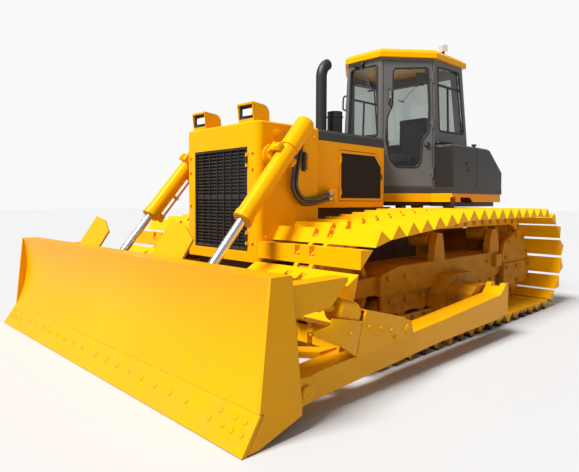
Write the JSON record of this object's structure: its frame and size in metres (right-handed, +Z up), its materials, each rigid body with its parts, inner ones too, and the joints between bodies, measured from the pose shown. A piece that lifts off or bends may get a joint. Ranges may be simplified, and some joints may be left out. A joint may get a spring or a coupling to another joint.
{
  "type": "crawler bulldozer",
  "caption": "Swamp bulldozer on wide tracks, with a straight lifting blade, lift cylinders, six-sided cab and opening doors.",
  "frame": {"origin": "on the ground under the middle of the machine's length and width, at the bottom centre of its box", "axes": "-Y is forward, towards the blade; +X is the machine's left; +Z is up"},
  "size_m": [3.9, 5.42, 3.1934],
  "materials": {
    "yellow_paint": "gloss enamel",
    "track_paint": "enamel over cast and rolled steel, worn at the crests",
    "charcoal_paint": "satin enamel",
    "black_steel": "matt black",
    "worn_steel": "dull, dusty",
    "chrome_rod": "polished hard chrome",
    "glass": "clear, slightly tinted",
    "lamp_glass": "clear, ribbed",
    "seat_cover": "black, grained",
    "cab_plastic": "grained",
    "hose_rubber": "dull black rubber",
    "cast_block": "rough",
    "core_metal": "dusty fins"
  },
  "bodies": {
    "chassis": {"track_left": "track_paint", "track_right": "track_paint", "track_frame_left": "yellow_paint", "track_frame_right": "yellow_paint", "idlers": "worn_steel", "sprockets": "worn_steel", "final_drives": "yellow_paint", "rollers": "worn_steel", "main_frame": "yellow_paint", "rear_case": "yellow_paint", "drawbar": "yellow_paint", "equalizer_bar": "yellow_paint", "engine_block": "cast_block", "radiator_core": "core_metal", "radiator_guard": "yellow_paint", "trunnion_brackets": "yellow_paint", "headlamp_hoods": "yellow_paint", "headlamp_lenses": "lamp_glass", "hood_top": "charcoal_paint", "hood_sides": "yellow_paint", "exhaust_stack": "black_steel", "air_cleaner": "black_steel", "cab_shell": "charcoal_paint", "cab_windows": "glass", "cab_roof": "yellow_paint", "floor_deck": "black_steel", "deck_skirt": "yellow_paint", "side_box_left": "charcoal_paint", "side_box_right": "charcoal_paint", "fuel_tank": "charcoal_paint", "seat_base": "black_steel", "seat_cushions": "seat_cover", "dashboard": "cab_plastic", "consoles": "cab_plastic", "roof_lamp": "black_steel", "hose_left_1": "hose_rubber", "hose_left_2": "hose_rubber", "hose_right_1": "hose_rubber", "hose_right_2": "hose_rubber"},
    "grille": {"grille_door": "black_steel"},
    "engine_hatch_left": {"engine_door_left": "yellow_paint"},
    "engine_hatch_right": {"engine_door_right": "yellow_paint"},
    "door_left": {"cab_door_left": "charcoal_paint", "cab_door_glass_left": "glass"},
    "door_right": {"cab_door_right": "charcoal_paint", "cab_door_glass_right": "glass"},
    "blade": {"moldboard": "yellow_paint", "blade_brackets": "yellow_paint", "rod_shields": "yellow_paint", "blade_edges": "worn_steel", "push_arm_left": "yellow_paint", "push_arm_right": "yellow_paint", "tilt_cylinder": "yellow_paint", "tilt_brace": "yellow_paint"},
    "barrel_left": {"lift_barrel_left": "yellow_paint"},
    "barrel_right": {"lift_barrel_right": "yellow_paint"},
    "rod_left": {"lift_rod_left": "chrome_rod"},
    "rod_right": {"lift_rod_right": "chrome_rod"}
  },
  "joints": [
    {"name": "blade_lift", "type": "hinge", "parent": "chassis", "child": "blade", "pos_m": [0, 0.49, 0.36], "axis": [1, 0, 0], "range_deg": [-18, 8]},
    {"name": "grille_swing", "type": "hinge", "parent": "chassis", "child": "grille", "pos_m": [0.399, -1.413, 1.278], "axis": [0, 0, 1], "range_deg": [0, 90]},
    {"name": "lift_swing_left", "type": "hinge", "parent": "chassis", "child": "barrel_left", "pos_m": [0.72, -1.257, 1.65], "axis": [1, 0, 0], "range_deg": [-26, 12]},
    {"name": "lift_slide_left", "type": "slide", "parent": "barrel_left", "child": "rod_left", "axis": [0, -0.651, -0.7591], "range_m": [-0.66, 0.295]},
    {"name": "cab_door_left_swing", "type": "hinge", "parent": "chassis", "child": "door_left", "pos_m": [0.68707, 1.18276, 1.43039], "axis": [-0.0306, 0.0243, 0.9992], "range_deg": [0, 90]},
    {"name": "engine_door_left_swing", "type": "hinge", "parent": "chassis", "child": "engine_hatch_left", "pos_m": [0.51, -0.293, 1.52], "axis": [0, 0, -1], "range_deg": [0, 90]},
    {"name": "lift_swing_right", "type": "hinge", "parent": "chassis", "child": "barrel_right", "pos_m": [-0.72, -1.257, 1.65], "axis": [1, 0, 0], "range_deg": [-26, 12]},
    {"name": "lift_slide_right", "type": "slide", "parent": "barrel_right", "child": "rod_right", "axis": [0, -0.651, -0.7591], "range_m": [-0.66, 0.295]},
    {"name": "cab_door_right_swing", "type": "hinge", "parent": "chassis", "child": "door_right", "pos_m": [-0.68707, 1.18276, 1.43039], "axis": [-0.0306, -0.0243, -0.9992], "range_deg": [0, 90]},
    {"name": "engine_door_right_swing", "type": "hinge", "parent": "chassis", "child": "engine_hatch_right", "pos_m": [-0.51, -0.293, 1.52], "axis": [0, 0, 1], "range_deg": [0, 90]}
  ],
  "couplings": [
    {"joint": "lift_swing_left", "follows": "blade_lift", "ratio": 1.4},
    {"joint": "lift_slide_left", "follows": "blade_lift", "m_per_rad": 2.097},
    {"joint": "lift_swing_right", "follows": "blade_lift", "ratio": 1.4},
    {"joint": "lift_slide_right", "follows": "blade_lift", "m_per_rad": 2.097}
  ]
}
